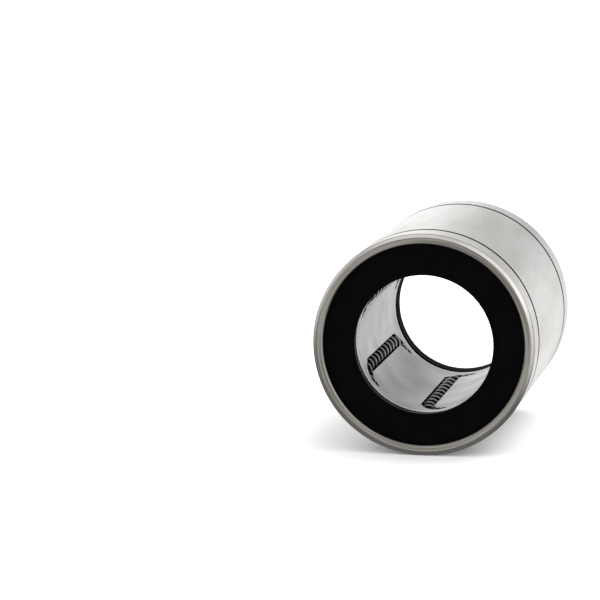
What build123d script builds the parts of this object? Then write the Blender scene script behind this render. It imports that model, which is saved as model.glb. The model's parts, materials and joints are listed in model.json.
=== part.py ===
from build123d import *

import os
from math import acos, cos, degrees, pi, radians, sin

# A closed linear ball bushing for a 1 1/4 inch shaft, in millimetres.
# The bore runs along Y with the origin at its middle. The front end is at -Y, and +Z is up.
# Six closed ball circuits run round in the retainer: each has a loaded row, which meets the
# shaft through a slot, a return row, and a half-turn of balls at the front and at the rear.

# Driving dimensions of the inch size
shaft_radius = 31.75 / 2
sleeve_radius = 50.8 / 2
length = 66.675
snap_groove_span = 50.922        # outside edge to outside edge of the two grooves
snap_groove_width = 1.727
snap_groove_radius = 47.904 / 2

# Ends of the sleeve
end_chamfer = 0.85
mouth_chamfer = 0.28
mouth_radius = 23.1
mouth_depth = 5.4
ring_groove_radius = 23.75

# Balls and their circuits
circuit_count = 6
first_row_angle = 26.5           # from +X towards +Z
ball_radius = 3.969 / 2
ball_clearance = 0.115           # between a ball and its channel
race_clearance = 0.017           # between a loaded ball and the sleeve's race
straight_balls = 9
turn_balls = 4
turn_radius = 5.22
return_row_radius = 20.1
slot_width = 3.3                 # narrower than a ball, so that the balls stay in
slot_length = 40.8

# Retainer, seals and rings
retainer_bore_radius = 16.25
retainer_clearance = 0.05
retainer_bevel = 0.2
seal_depths = (1.0, 3.6)         # front and back of a seal, below the end face
seal_face_depth = 1.22
seal_lip_rounding = 0.25
seal_rim_rounding = 0.3
seal_step_rounding = 0.12
lip_land = 1.4                   # length of the lip that wipes the shaft
lip_flare_radius = 16.35         # behind it the lip opens out to this at the seal's back
lip_ring_radius = 16.65
rim_ring_radius = 22.35
core_radii = (17.4, 22.3)
core_thickness = 0.8
retaining_ring_depths = (3.6, 4.5)
retaining_ring_radii = (21.5, 23.7)
retaining_ring_gap = 7.0
end_ring_depths = (4.5, 5.4)
end_ring_bore_radius = 16.9
end_ring_chamfer = 0.3
fit_gap = 0.03                   # radial gap of a ring in the sleeve's mouth
edge_tolerance = 0.01            # how near an edge must be to the size it is looked up by

# Worked out from the above
half_length = length / 2
loaded_row_radius = shaft_radius + ball_radius
race_radius = loaded_row_radius + ball_radius + race_clearance
channel_radius = ball_radius + ball_clearance
ball_pitch = pi * turn_radius / turn_balls
half_straight = straight_balls * ball_pitch / 2
return_row_offset = degrees(
    acos(
        (loaded_row_radius**2 + return_row_radius**2 - (2 * turn_radius) ** 2)
        / (2 * loaded_row_radius * return_row_radius)
    )
)
bore_line = Vector(0, 1, 0)
ends = {"front": -1, "rear": 1}


def row_point(radius, angle):
    """A point at mid-length, at an angle round the bore from +X towards +Z."""
    return Vector(radius * cos(radians(angle)), 0, radius * sin(radians(angle)))


# Turned profiles are drawn half way between a return row and the next loaded row
free_angle = first_row_angle + (return_row_offset + 360 / circuit_count) / 2
free_direction = row_point(1, free_angle)
turning_plane = Plane(
    origin=(0, 0, 0), x_dir=free_direction, z_dir=free_direction.cross(bore_line)
)


def ring(side, depths, radii, mode=Mode.ADD):
    """A plain turned ring between two depths below an end face and two radii."""
    middle = side * (half_length - sum(depths) / 2)
    with BuildSketch(turning_plane) as section:
        with Locations((sum(radii) / 2, middle)):
            Rectangle(radii[1] - radii[0], depths[1] - depths[0])
    revolve(section.sketch, axis=Axis.Y, mode=mode)


def edges_at(part, side, depth, radius):
    """The circular edges of a part at one depth and one radius."""
    height = side * (half_length - depth)
    found = part.edges().filter_by(GeomType.CIRCLE)
    lowest, highest = height - edge_tolerance, height + edge_tolerance
    found = found.filter_by_position(Axis.Y, lowest, highest)
    return found.filter_by(lambda edge: abs(edge.radius - radius) < edge_tolerance)


class Circuit:
    """One closed ball path. It lies in a flat plane with local x from the loaded row to the
    return row and local y along the bore."""

    def __init__(self, number):
        row_angle = first_row_angle + number * 360 / circuit_count
        loaded = row_point(loaded_row_radius, row_angle)
        returning = row_point(return_row_radius, row_angle + return_row_offset)
        self.slot_plane = Plane(origin=loaded, x_dir=bore_line, z_dir=-loaded.normalized())
        across = (returning - loaded).normalized()
        self.plane = Plane(
            origin=(loaded + returning) * 0.5, x_dir=across, z_dir=across.cross(bore_line)
        )

    def point(self, x, y):
        return self.plane.from_local_coords(Vector(x, y, 0))

    def row(self, side):
        """Ball centres of a straight row: side -1 is the loaded row, 1 the return row."""
        middle = (straight_balls - 1) / 2
        steps = range(straight_balls)
        return [self.point(side * turn_radius, (step - middle) * ball_pitch) for step in steps]

    def turn(self, end):
        """Ball centres of the half-turn at one end, half a pitch clear of both rows."""
        angles = [180 * (step + 0.5) / turn_balls for step in range(turn_balls)]
        return [
            self.point(
                turn_radius * cos(radians(angle)),
                end * (half_straight + turn_radius * sin(radians(angle))),
            )
            for angle in angles
        ]

    def channel(self):
        """The space that the balls of this circuit run through."""
        with BuildPart(mode=Mode.PRIVATE) as space:
            for side in (-1, 1):
                foot = self.point(side * turn_radius, -half_straight)
                with BuildSketch(Plane(foot, self.plane.x_dir, bore_line)):
                    Circle(channel_radius)
                extrude(amount=2 * half_straight)
            for end in ends.values():
                start = self.point(end * turn_radius, end * half_straight)
                centre = self.point(0, end * half_straight)
                with BuildSketch(Plane(start, self.plane.x_dir, bore_line)):
                    Circle(channel_radius)
                revolve(axis=Axis(centre, self.plane.z_dir), revolution_arc=180)
        return space.part


circuits = [Circuit(number) for number in range(circuit_count)]
channels = [circuit.channel() for circuit in circuits]

# Hardened sleeve: two snap ring grooves outside, a mouth at each end, and inside it the race,
# with a relief where each circuit turns and runs back
with BuildPart() as outer_sleeve:
    ring(1, (0, length), (race_radius, sleeve_radius))
    for side in ends.values():
        ring(side, (0, mouth_depth), (race_radius, mouth_radius), Mode.SUBTRACT)
        ring(side, retaining_ring_depths, (mouth_radius, ring_groove_radius), Mode.SUBTRACT)
        groove_depth = (length - snap_groove_span) / 2
        groove_depths = (groove_depth, groove_depth + snap_groove_width)
        ring(side, groove_depths, (snap_groove_radius, sleeve_radius), Mode.SUBTRACT)
        chamfer(edges_at(outer_sleeve.part, side, 0, sleeve_radius), end_chamfer)
        chamfer(edges_at(outer_sleeve.part, side, 0, mouth_radius), mouth_chamfer)
    for channel in channels:
        add(channel, mode=Mode.SUBTRACT)

# Retainer: a steel tube with the channels cut into it, and a slot for each loaded row
with BuildPart() as ball_retainer:
    tube_radii = (retainer_bore_radius, race_radius - retainer_clearance)
    ring(1, (mouth_depth, length - mouth_depth), tube_radii)
    for side in ends.values():
        chamfer(edges_at(ball_retainer.part, side, mouth_depth, tube_radii[0]), retainer_bevel)
    for channel in channels:
        add(channel, mode=Mode.SUBTRACT)
    for circuit in circuits:
        with BuildSketch(circuit.slot_plane):
            SlotOverall(slot_length, slot_width)
        extrude(amount=loaded_row_radius - shaft_radius, mode=Mode.SUBTRACT)


def end_ring(side):
    """Flat ring that holds the retainer in the sleeve."""
    with BuildPart() as piece:
        ring(side, end_ring_depths, (end_ring_bore_radius, mouth_radius - fit_gap))
        bore_edges = edges_at(piece.part, side, end_ring_depths[0], end_ring_bore_radius)
        chamfer(bore_edges, end_ring_chamfer)
    return piece.part


def retaining_ring(side):
    """Spring ring in the mouth's groove, open at the top."""
    front, back = retaining_ring_depths
    with BuildPart() as piece:
        ring(side, retaining_ring_depths, retaining_ring_radii)
        with BuildSketch(Plane.XY):
            with Locations((0, side * (half_length - (front + back) / 2))):
                Rectangle(retaining_ring_gap, 2 * (back - front))
        extrude(amount=sleeve_radius, mode=Mode.SUBTRACT)
    return piece.part


def seal(side):
    """Rubber seal whose lip wipes the shaft, with a raised ring round the lip and the rim."""
    front, back = seal_depths
    land_end, back_end = side * (half_length - front - lip_land), side * (half_length - back)
    outside = mouth_radius - fit_gap
    with BuildPart() as piece:
        ring(side, seal_depths, (shaft_radius, outside))
        with BuildSketch(turning_plane) as flare:
            with BuildLine():
                Polyline(
                    (shaft_radius, land_end),
                    (shaft_radius, back_end),
                    (lip_flare_radius, back_end),
                    close=True,
                )
            make_face()
        revolve(flare.sketch, axis=Axis.Y, mode=Mode.SUBTRACT)
        ring(side, (front, seal_face_depth), (lip_ring_radius, rim_ring_radius), Mode.SUBTRACT)
        ring(side, (back - core_thickness, back), core_radii, Mode.SUBTRACT)
        fillet(edges_at(piece.part, side, front, shaft_radius), seal_lip_rounding)
        fillet(edges_at(piece.part, side, front, lip_ring_radius), seal_step_rounding)
        fillet(edges_at(piece.part, side, front, outside), seal_rim_rounding)
    return piece.part


def seal_core(side):
    """Steel washer bonded into the back of a seal to stiffen it."""
    back = seal_depths[1]
    with BuildPart() as piece:
        ring(side, (back - core_thickness, back), core_radii)
    return piece.part


def balls(centres):
    """A run of separate balls."""
    with BuildPart() as piece:
        with Locations(*centres):
            Sphere(ball_radius)
    return piece.part


pieces = {"outer_sleeve": outer_sleeve.part, "ball_retainer": ball_retainer.part}
for name, side in ends.items():
    pieces[f"{name}_seal"] = seal(side)
    pieces[f"{name}_seal_core"] = seal_core(side)
    pieces[f"{name}_retaining_ring"] = retaining_ring(side)
    pieces[f"{name}_end_ring"] = end_ring(side)
for number, circuit in enumerate(circuits, start=1):
    pieces[f"loaded_row_{number}"] = balls(circuit.row(-1))
    pieces[f"return_row_{number}"] = balls(circuit.row(1))
    for name, end in ends.items():
        pieces[f"{name}_turn_{number}"] = balls(circuit.turn(end))

os.makedirs("parts", exist_ok=True)
for name, part in pieces.items():
    part.label = name
    export_step(part, f"parts/{name}.step")
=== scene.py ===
import json
import math

import bpy
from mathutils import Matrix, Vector


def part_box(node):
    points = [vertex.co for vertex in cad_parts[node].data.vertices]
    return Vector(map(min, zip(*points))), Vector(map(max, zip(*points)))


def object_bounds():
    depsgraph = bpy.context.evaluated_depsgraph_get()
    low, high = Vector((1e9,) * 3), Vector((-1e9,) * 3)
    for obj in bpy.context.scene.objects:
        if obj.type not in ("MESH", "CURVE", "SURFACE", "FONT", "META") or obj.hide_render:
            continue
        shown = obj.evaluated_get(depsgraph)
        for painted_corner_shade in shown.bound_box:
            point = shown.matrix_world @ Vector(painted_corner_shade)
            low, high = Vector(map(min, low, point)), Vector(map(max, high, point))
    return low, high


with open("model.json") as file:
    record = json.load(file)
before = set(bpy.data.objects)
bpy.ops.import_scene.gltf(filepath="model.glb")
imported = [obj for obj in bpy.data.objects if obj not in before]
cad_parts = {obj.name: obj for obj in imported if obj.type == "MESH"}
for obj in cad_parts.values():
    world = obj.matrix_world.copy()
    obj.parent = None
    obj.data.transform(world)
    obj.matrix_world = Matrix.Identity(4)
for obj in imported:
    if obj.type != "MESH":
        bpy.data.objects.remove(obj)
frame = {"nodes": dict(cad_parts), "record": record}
cad_low, cad_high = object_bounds()
record = frame["record"]
mounts = {mount["name"]: mount for mount in record["mounts"]}

# Sizes that the camera and the materials are placed by, in metres. The bore runs along Y, with
# the origin at its middle.
MM = 0.001
centre = (cad_low + cad_high) / 2
half_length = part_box("outer_sleeve")[1].y
sleeve_radius = mounts["housing_seat"]["dims"]["r_mm"] * MM
end_chamfer = half_length - mounts["housing_seat"]["dims"]["length_mm"] * MM / 2
snap_groove_depth = half_length - abs(mounts["front_snap_groove"]["pos_m"][1])
snap_groove_width = mounts["front_snap_groove"]["dims"]["length_mm"] * MM
seal_low, seal_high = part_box("front_seal")
seal_front = seal_low.y
seal_radius = seal_high.x
lip_radius = mounts["shaft_bore"]["dims"]["r_mm"] * MM
retainer_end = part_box("ball_retainer")[1].y

# Sizes inside the CAD nodes, which the frame doesn't give
RETAINER_WALL_RADIUS = 16.28 * MM      # just behind the face of the retainer's bore
MOUTH_BEVEL = 0.3 * MM                 # from the seal's rim to the outside of the mouth's bevel
LIP_LAND = 1.4 * MM                    # length of the lip that wipes the shaft
LIP_FLARE_RADIUS = 16.35 * MM          # where the flare behind the lip ends

# How near a surface a point has to be to count as part of it
SKIN = 0.04 * MM


# Camera: a long lens at a low angle, a little to the right of the bore's line

CAMERA_AZIMUTH = 8.46
CAMERA_ELEVATION = 8.77
CAMERA_DISTANCE = 0.840
CAMERA_HEADING = 10.81
CAMERA_PITCH = 8.40
CAMERA_LENS = 213.96
CAMERA_CLIP = (0.01, 50)


def make_camera():
    azimuth, elevation = math.radians(CAMERA_AZIMUTH), math.radians(CAMERA_ELEVATION)
    data = bpy.data.cameras.new("camera")
    data.lens = CAMERA_LENS
    data.clip_start, data.clip_end = CAMERA_CLIP
    camera = bpy.data.objects.new("camera", data)
    bpy.context.scene.collection.objects.link(camera)
    level = math.cos(elevation)
    back = Vector((math.sin(azimuth) * level, -math.cos(azimuth) * level, math.sin(elevation)))
    camera.location = centre + back * CAMERA_DISTANCE
    camera.rotation_euler = (math.radians(90 - CAMERA_PITCH), 0, math.radians(CAMERA_HEADING))
    bpy.context.scene.camera = camera


# Node trees


class Nodes:
    """A node tree, with short names for the nodes that are used again and again."""

    def __init__(self, tree):
        self.tree = tree

    def add(self, kind, **settings):
        node = self.tree.nodes.new(kind)
        for key, value in settings.items():
            setattr(node, key, value)
        return node

    def plug(self, value, socket):
        if isinstance(value, bpy.types.NodeSocket):
            self.tree.links.new(value, socket)
        else:
            socket.default_value = value

    def fill(self, node, output, **sockets):
        """Plugs values into a node's sockets, from_min into its From Min and so on, and gives
        the named output."""
        for key, value in sockets.items():
            self.plug(value, node.inputs[key.replace("_", " ").title()])
        return node.outputs[output]

    def math(self, operation, *values):
        node = self.add("ShaderNodeMath", operation=operation)
        for value, socket in zip(values, node.inputs):
            self.plug(value, socket)
        return node.outputs[0]


class Material(Nodes):
    """The node tree of a material that is placed by the object's own coordinates."""

    SHADER_SOCKETS = {
        "color": "Base Color",
        "metallic": "Metallic",
        "roughness": "Roughness",
        "normal": "Normal",
        "tangent": "Tangent",
        "specular": "Specular IOR Level",
        "anisotropy": "Anisotropic",
        "anisotropic_rotation": "Anisotropic Rotation",
        "coat": "Coat Weight",
        "coat_roughness": "Coat Roughness",
        "coat_ior": "Coat IOR",
    }

    def __init__(self, name):
        self.material = bpy.data.materials.new(name)
        self.material.use_nodes = True
        super().__init__(self.material.node_tree)
        self.shader = self.tree.nodes["Principled BSDF"]
        self.place = self.add("ShaderNodeTexCoord").outputs["Object"]

    def split(self, vector):
        node = self.add("ShaderNodeSeparateXYZ")
        self.plug(vector, node.inputs[0])
        return node.outputs

    def join(self, x, y, z):
        return self.fill(self.add("ShaderNodeCombineXYZ"), "Vector", x=x, y=y, z=z)

    def noise(self, vector, scale, detail, roughness):
        node = self.add("ShaderNodeTexNoise")
        sockets = {"vector": vector, "scale": scale, "detail": detail, "roughness": roughness}
        return self.fill(node, "Fac", **sockets)

    def ramp(self, value, low, high, out_low=0.0, out_high=1.0):
        """Runs evenly from out_low to out_high while the value goes from low to high."""
        node = self.add("ShaderNodeMapRange", clamp=True)
        starts = {"from_min": low, "from_max": high}
        return self.fill(node, "Result", value=value, to_min=out_low, to_max=out_high, **starts)

    def band(self, value, middle, inner, outer, strength):
        """Full strength within inner of the middle value, and nothing past outer of it."""
        off = self.math("ABSOLUTE", self.math("SUBTRACT", value, middle))
        return self.ramp(off, inner, outer, out_low=strength, out_high=0.0)

    def mix(self, share, first, second):
        node = self.add("ShaderNodeMix", data_type="RGBA")
        factor, first_color, second_color = node.inputs[0], node.inputs[6], node.inputs[7]
        self.plug(share, factor)
        self.plug(first, first_color)
        self.plug(second, second_color)
        return node.outputs[2]

    def bump(self, height, distance, strength, below=None):
        node = self.add("ShaderNodeBump")
        if below is not None:
            self.plug(below, node.inputs["Normal"])
        return self.fill(node, "Normal", height=height, distance=distance, strength=strength)

    def finish(self, **sockets):
        for key, value in sockets.items():
            self.plug(value, self.shader.inputs[self.SHADER_SOCKETS[key]])
        return self.material


class TurnedMaterial(Material):
    """A material of a piece that is round about the bore's line."""

    # The radius counts for more than the length, or rings would vanish on a 45 degree bevel
    RADIUS_WEIGHT = 1.37

    def __init__(self, name):
        super().__init__(name)
        self.x, self.along, self.z = self.split(self.place)
        x_square = self.math("MULTIPLY", self.x, self.x)
        z_square = self.math("MULTIPLY", self.z, self.z)
        self.radius = self.math("SQRT", self.math("ADD", x_square, z_square))
        self.off_middle = self.math("ABSOLUTE", self.along)

    def ring_noise(self, round_scale, ring_scale, detail, roughness):
        """Noise in coordinates that run slowly round the bore and fast along and across it, so
        that it makes the rings that grinding and turning leave."""
        across = self.math("MULTIPLY", self.math("DIVIDE", self.x, self.radius), round_scale)
        up = self.math("MULTIPLY", self.math("DIVIDE", self.z, self.radius), round_scale)
        weighted = self.math("MULTIPLY", self.radius, self.RADIUS_WEIGHT)
        ring = self.math("MULTIPLY", self.math("ADD", weighted, self.along), ring_scale)
        return self.noise(self.join(across, ring, up), 1.0, detail, roughness)


def grey(level, warmth=0.0):
    """A grey that is a little warmer than neutral."""
    blue_share = 1.4
    return (level * (1 + warmth), level, level * (1 - blue_share * warmth), 1.0)


# Materials


def ground_color(nodes, fine, blotch, cloud):
    """Bright ground steel with faint stains and scratches."""
    stain = nodes.ramp(blotch, low=0.42, high=0.66)
    haze = nodes.ramp(cloud, low=0.5, high=0.72, out_high=0.6)
    scratch = nodes.ramp(fine, low=0.4, high=0.8, out_high=0.16)
    color = nodes.mix(stain, grey(0.93, 0.015), grey(0.80, 0.035))
    color = nodes.mix(haze, color, grey(0.78, 0.045))
    return nodes.mix(scratch, color, grey(0.6, 0.02))


def turned_end_color(nodes, depth, fine, broad):
    """The end face and the bevels on both sides of it, with tool marks, and painted shade at the
    face's outer corner and on the mouth's bevel.
    """
    line = nodes.ramp(fine, low=0.42, high=0.58)
    dull_ring = nodes.ramp(broad, low=0.5, high=0.58, out_high=0.7)
    face = nodes.mix(line, grey(0.97, 0.06), grey(0.58, 0.08))
    face = nodes.mix(dull_ring, face, grey(0.44, 0.10))
    bevel = nodes.mix(line, grey(0.88, 0.02), grey(0.5, 0.04))
    color = nodes.mix(nodes.math("LESS_THAN", depth, SKIN), bevel, face)
    # Painted shade: a dark ring where the end face meets the outer chamfer.
    corner_radius = sleeve_radius - end_chamfer
    reach = {"inner": 0.05 * MM, "outer": 0.15 * MM}
    painted_corner_shade = nodes.band(nodes.radius, corner_radius, strength=0.6, **reach)
    color = nodes.mix(painted_corner_shade, color, grey(0.25, 0.03))
    # Painted shade: the bevel into the mouth is darkened.
    bevel_radius = seal_radius + MOUTH_BEVEL
    blur = 0.05 * MM
    limits = {"low": bevel_radius - blur, "high": bevel_radius + blur}
    in_mouth = nodes.ramp(nodes.radius, out_low=1.0, out_high=0.0, **limits)
    return nodes.mix(in_mouth, color, grey(0.27, 0.03))


def groove_wear(nodes, depth, cloud):
    """How worn bright the steel is, most of all at the edges of the snap ring grooves."""
    off_groove = nodes.math("ABSOLUTE", nodes.math("SUBTRACT", depth, snap_groove_depth))
    off_edge = nodes.math("SUBTRACT", off_groove, snap_groove_width / 2)
    unevenness = 0.2 * MM
    uneven = nodes.math("ADD", off_edge, nodes.math("MULTIPLY", cloud, unevenness))
    return nodes.ramp(uneven, low=0.15 * MM, high=0.35 * MM, out_low=0.8, out_high=0.0)


def sleeve_material():
    """Ground outside, turned rims and chamfers, and painted shade: near-black grooves and
    inside, and a dark line where the chamfers meet the outside.
    """
    nodes = TurnedMaterial("sleeve_steel")
    fine = nodes.ring_noise(round_scale=1.0, ring_scale=3200, detail=3, roughness=0.6)
    broad = nodes.ring_noise(round_scale=0.8, ring_scale=1500, detail=2, roughness=0.5)
    stain_shortening = 0.22
    shortened = nodes.math("MULTIPLY", nodes.along, stain_shortening)
    drawn_out = nodes.join(nodes.x, shortened, nodes.z)
    blotch = nodes.noise(drawn_out, scale=110, detail=2, roughness=0.5)
    cloud = nodes.noise(drawn_out, scale=380, detail=3, roughness=0.55)

    depth = nodes.math("SUBTRACT", half_length, nodes.off_middle)
    just_inside = 0.98
    is_end = nodes.math("LESS_THAN", depth, end_chamfer * just_inside)
    below_skin = nodes.math("LESS_THAN", nodes.radius, sleeve_radius - SKIN)
    is_inside = nodes.math("MULTIPLY", below_skin, nodes.math("SUBTRACT", 1.0, is_end))
    metal = nodes.math("SUBTRACT", 1.0, is_inside)
    # Painted shade: a dark line on the outside where it meets the end chamfers.
    reach = {"inner": 0.07 * MM, "outer": 0.16 * MM}
    edge = nodes.band(depth, end_chamfer, strength=0.75, **reach)
    wear = groove_wear(nodes, depth, cloud)

    ground = ground_color(nodes, fine, blotch, cloud)
    color = nodes.mix(is_end, ground, turned_end_color(nodes, depth, fine, broad))
    color = nodes.mix(edge, color, grey(0.15, 0.03))
    # Painted shade: the grooves and the inside are near-black and not metal, standing in for the
    # shade in them.
    color = nodes.mix(is_inside, color, grey(0.012, 0.05))
    color = nodes.mix(nodes.math("MULTIPLY", wear, metal), color, grey(0.97, 0.01))

    end_roughening, wear_smoothing = 0.06, 0.08
    rough = nodes.ramp(blotch, low=0.3, high=0.7, out_low=0.2, out_high=0.27)
    rough = nodes.math("ADD", rough, nodes.math("MULTIPLY", is_end, end_roughening))
    rough = nodes.math("SUBTRACT", rough, nodes.math("MULTIPLY", wear, wear_smoothing))

    height = nodes.math("ADD", fine, nodes.math("MULTIPLY", broad, is_end))
    rounded = nodes.fill(nodes.add("ShaderNodeBevel", samples=6), "Normal", radius=0.1 * MM)
    normal = nodes.bump(height, distance=0.0012 * MM, strength=0.6, below=rounded)
    tangent = nodes.add("ShaderNodeTangent", direction_type="RADIAL", axis="Y").outputs[0]
    grain = {"tangent": tangent, "anisotropy": 0.7, "anisotropic_rotation": 0.25}
    return nodes.finish(color=color, roughness=rough, metallic=metal, normal=normal, **grain)


def retainer_material():
    """Satin steel with faint rings in the bore, a painted highlight on the land at each end, and
    painted shade in the channels, near-black and not metal."""
    nodes = TurnedMaterial("retainer_steel")
    streak = nodes.ring_noise(round_scale=1.6, ring_scale=700, detail=3, roughness=0.55)
    cloud = nodes.noise(nodes.place, scale=110, detail=2, roughness=0.5)
    speckle = nodes.noise(nodes.place, scale=2600, detail=2, roughness=0.5)
    in_bore = nodes.math("LESS_THAN", nodes.radius, RETAINER_WALL_RADIUS)
    depth = nodes.math("SUBTRACT", retainer_end, nodes.off_middle)
    # Painted highlight: a brighter band just inside each end of the bore.
    land_highlight = nodes.ramp(depth, low=1.1 * MM, high=1.5 * MM, out_low=0.7, out_high=0.0)

    clean = nodes.ramp(cloud, low=0.35, high=0.65)
    steel = nodes.mix(clean, grey(0.60), grey(0.53, -0.01))
    ring_mark = nodes.ramp(streak, low=0.45, high=0.75, out_high=0.25)
    steel = nodes.mix(ring_mark, steel, grey(0.46))
    pit = nodes.ramp(speckle, low=0.6, high=0.8, out_high=0.2)
    steel = nodes.mix(pit, steel, grey(0.4))
    steel = nodes.mix(land_highlight, steel, grey(0.82))
    # Painted shade: everything outside the bore, the channels, is near-black and not metal.
    color = nodes.mix(in_bore, grey(0.006), steel)
    rough = nodes.ramp(cloud, low=0.3, high=0.7, out_low=0.3, out_high=0.4)
    normal = nodes.bump(streak, distance=0.004 * MM, strength=0.4)
    return nodes.finish(color=color, roughness=rough, metallic=in_bore, normal=normal)


def ball_material(name, light, dark, roughness):
    """Polished bearing balls with a film of oil."""
    nodes = Material(name)
    haze = nodes.noise(nodes.place, scale=900, detail=2, roughness=0.5)
    color = nodes.mix(nodes.ramp(haze, low=0.35, high=0.7), grey(light), grey(dark, 0.01))
    rough = nodes.ramp(haze, low=0.3, high=0.7, out_low=roughness, out_high=2 * roughness)
    oil = {"coat": 1.0, "coat_roughness": 0.02, "coat_ior": 1.7}
    return nodes.finish(color=color, roughness=rough, metallic=1.0, **oil)


def rubber_material():
    """Moulded black rubber with a fine grain, and painted light on the flare behind the lip."""
    nodes = TurnedMaterial("seal_rubber")
    grain = nodes.noise(nodes.place, scale=4200, detail=3, roughness=0.6)
    patch = nodes.noise(nodes.place, scale=260, detail=3, roughness=0.5)
    mould_ring = nodes.ring_noise(round_scale=1.0, ring_scale=1600, detail=2, roughness=0.5)

    # Painted light: the flare behind the lip is made lighter, standing in for the light it
    # catches.
    behind_land = nodes.math("LESS_THAN", nodes.off_middle, -seal_front - LIP_LAND)
    inner = nodes.ramp(nodes.radius, low=lip_radius + 0.05 * MM, high=lip_radius + 0.15 * MM)
    fade = {"low": LIP_FLARE_RADIUS - 0.12 * MM, "high": LIP_FLARE_RADIUS}
    outer = nodes.ramp(nodes.radius, out_low=1.0, out_high=0.0, **fade)
    flare_light = nodes.math("MULTIPLY", behind_land, nodes.math("MULTIPLY", inner, outer))

    black = (0.0004, 0.0005, 0.0005, 1)
    dark = (0.0010, 0.0011, 0.0011, 1)
    color = nodes.mix(nodes.ramp(patch, low=0.3, high=0.7), black, dark)
    color = nodes.mix(flare_light, color, grey(0.012))
    rough = nodes.ramp(patch, low=0.3, high=0.7, out_low=0.38, out_high=0.52)
    normal = nodes.bump(mould_ring, distance=0.02 * MM, strength=0.5)
    normal = nodes.bump(grain, distance=0.01 * MM, strength=0.5, below=normal)
    plain = {"metallic": 0.0, "specular": 0.07}
    return nodes.finish(color=color, roughness=rough, normal=normal, **plain)


def plain_steel_material(name, light, dark, roughness):
    """Turned or pressed small steel part."""
    nodes = TurnedMaterial(name)
    streak = nodes.ring_noise(round_scale=2.0, ring_scale=2000, detail=3, roughness=0.6)
    color = nodes.mix(nodes.ramp(streak, low=0.3, high=0.7), grey(light, 0.01), grey(dark, 0.01))
    streak_roughening = 0.12
    limits = {"out_low": roughness, "out_high": roughness + streak_roughening}
    rough = nodes.ramp(streak, low=0.3, high=0.7, **limits)
    normal = nodes.bump(streak, distance=0.006 * MM, strength=0.5)
    return nodes.finish(color=color, roughness=rough, metallic=1.0, normal=normal)


def dress_nodes():
    """Gives every CAD node its material, by the slot that the record names."""
    materials = {
        "sleeve_steel": sleeve_material(),
        "retainer_steel": retainer_material(),
        # The balls' base colour, far darker than polished steel, is painted shade; the coat is
        # their oil film.
        "ball_steel": ball_material("ball_steel", light=0.13, dark=0.09, roughness=0.015),
        "seal_rubber": rubber_material(),
        "core_steel": plain_steel_material("core_steel", 0.5, 0.4, roughness=0.35),
        "spring_steel": plain_steel_material("spring_steel", 0.22, 0.16, roughness=0.35),
        "black_steel": plain_steel_material("black_steel", 0.03, 0.02, roughness=0.4),
    }
    # Painted shade: the balls in the turns and return rows get a darker, rougher copy of the
    # ball steel.
    shaded_ball_material = ball_material("shaded_ball_steel", light=0.08, dark=0.04, roughness=0.1)
    for row in record["subparts"]:
        node = frame["nodes"][row["node"]]
        node.data.materials.clear()
        is_shaded_ball = "turn" in row["node"] or "return" in row["node"]
        node.data.materials.append(shaded_ball_material if is_shaded_ball else materials[row["material_slot"]])


# Studio

FLOOR_REACH = 30.0

# Light that matt surfaces get from all round, and from the soft sun at the right and rear
SKY_STRENGTH = 1.45
SUN_STRENGTH = 1.8
SUN_DIRECTION = (0.45, 0.55, 1.0)
SUN_ANGLE = 50

# What polished surfaces reflect: a dim room, and soft panels, each with its direction, the
# angles in degrees within which it is full and past which it is dark, and its brightness
ROOM_DIMNESS = 0.13
PANELS = (
    ((0.0, -1.0, 0.05), 15, 60, 0.145),     # in front
    ((0.9, -0.5, 0.0), 12, 45, 0.95),       # front right
    ((-0.9, -0.5, 0.1), 12, 45, 0.35),      # front left
    ((0.0, 1.0, 0.0), 25, 80, 0.41),        # all over the rear
    ((-0.40, 1.0, 0.10), 8, 27, 0.53),      # rear left
    ((0.3, 1.0, -0.35), 8, 32, 0.42),       # low at the rear right
    ((0.75, -0.1, 0.65), 12, 40, 1.1),      # high on the right
    ((-0.8, 0.1, 0.45), 10, 45, 0.5),       # high on the left
    ((-0.15, -0.2, 1.0), 10, 42, 0.75),     # overhead
)


def make_floor():
    """A plain pale floor under the bushing, which the steel doesn't reflect."""
    mesh = bpy.data.meshes.new("floor")
    reach = FLOOR_REACH
    corners = [(-reach, -reach, 0), (reach, -reach, 0), (reach, reach, 0), (-reach, reach, 0)]
    mesh.from_pydata(corners, [], [(0, 1, 2, 3)])
    floor = bpy.data.objects.new("floor", mesh)
    floor.location.z = cad_low.z
    bpy.context.scene.collection.objects.link(floor)
    nodes = Material("floor")
    patch = nodes.noise(nodes.place, scale=3, detail=2, roughness=0.5)
    color = nodes.mix(patch, grey(0.90), grey(0.92))
    floor.data.materials.append(nodes.finish(color=color, roughness=0.9, specular=0.1))
    floor.visible_glossy = False


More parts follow.
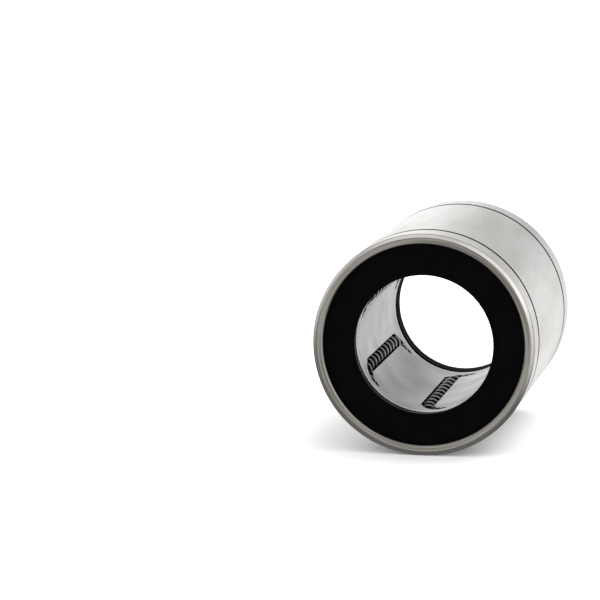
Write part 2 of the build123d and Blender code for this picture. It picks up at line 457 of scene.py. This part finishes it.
class Room(Nodes):
    """The world's node tree: the light that comes from each direction."""

    def __init__(self, tree):
        super().__init__(tree)
        self.direction = self.add("ShaderNodeTexCoord").outputs["Generated"]

    def panel(self, toward, inner, outer, level):
        """Light round a direction: full within the inner angle, none past the outer one."""
        dot = self.add("ShaderNodeVectorMath", operation="DOT_PRODUCT")
        self.plug(self.direction, dot.inputs[0])
        self.plug(Vector(toward).normalized(), dot.inputs[1])
        edge = self.add("ShaderNodeMapRange", interpolation_type="SMOOTHSTEP")
        starts, full = math.cos(math.radians(outer)), math.cos(math.radians(inner))
        limits = {"from_min": starts, "from_max": full, "to_min": 0.0, "to_max": level}
        return self.fill(edge, "Result", value=dot.outputs["Value"], **limits)

    def background(self, strength):
        node = self.add("ShaderNodeBackground")
        return self.fill(node, "Background", color=(1, 1, 1, 1), strength=strength)

    def pick(self, chooses, otherwise, chosen):
        """One of two lights, by a ray's kind."""
        node = self.add("ShaderNodeMixShader")
        for value, socket in zip((chooses, otherwise, chosen), node.inputs):
            self.plug(value, socket)
        return node.outputs[0]


def make_world():
    """Even white for the eye and for matt surfaces, and the room for reflections."""
    world = bpy.data.worlds.new("studio")
    world.use_nodes = True
    bpy.context.scene.world = world
    world.node_tree.nodes.clear()
    room = Room(world.node_tree)
    level = ROOM_DIMNESS
    for panel in PANELS:
        level = room.math("ADD", level, room.panel(*panel))
    ray = room.add("ShaderNodeLightPath").outputs
    sky, backdrop = room.background(SKY_STRENGTH), room.background(1.0)
    light = room.pick(ray["Is Glossy Ray"], sky, room.background(level))
    light = room.pick(ray["Is Camera Ray"], light, backdrop)
    room.plug(light, room.add("ShaderNodeOutputWorld").inputs["Surface"])


def make_sun():
    data = bpy.data.lights.new("sun", "SUN")
    data.energy = SUN_STRENGTH
    data.angle = math.radians(SUN_ANGLE)
    sun = bpy.data.objects.new("sun", data)
    sun.rotation_euler = Vector(SUN_DIRECTION).to_track_quat("Z", "Y").to_euler()
    sun.visible_glossy = False
    bpy.context.scene.collection.objects.link(sun)


make_camera()
dress_nodes()
make_floor()
make_world()
make_sun()

bpy.context.scene.view_settings.view_transform = "Standard"
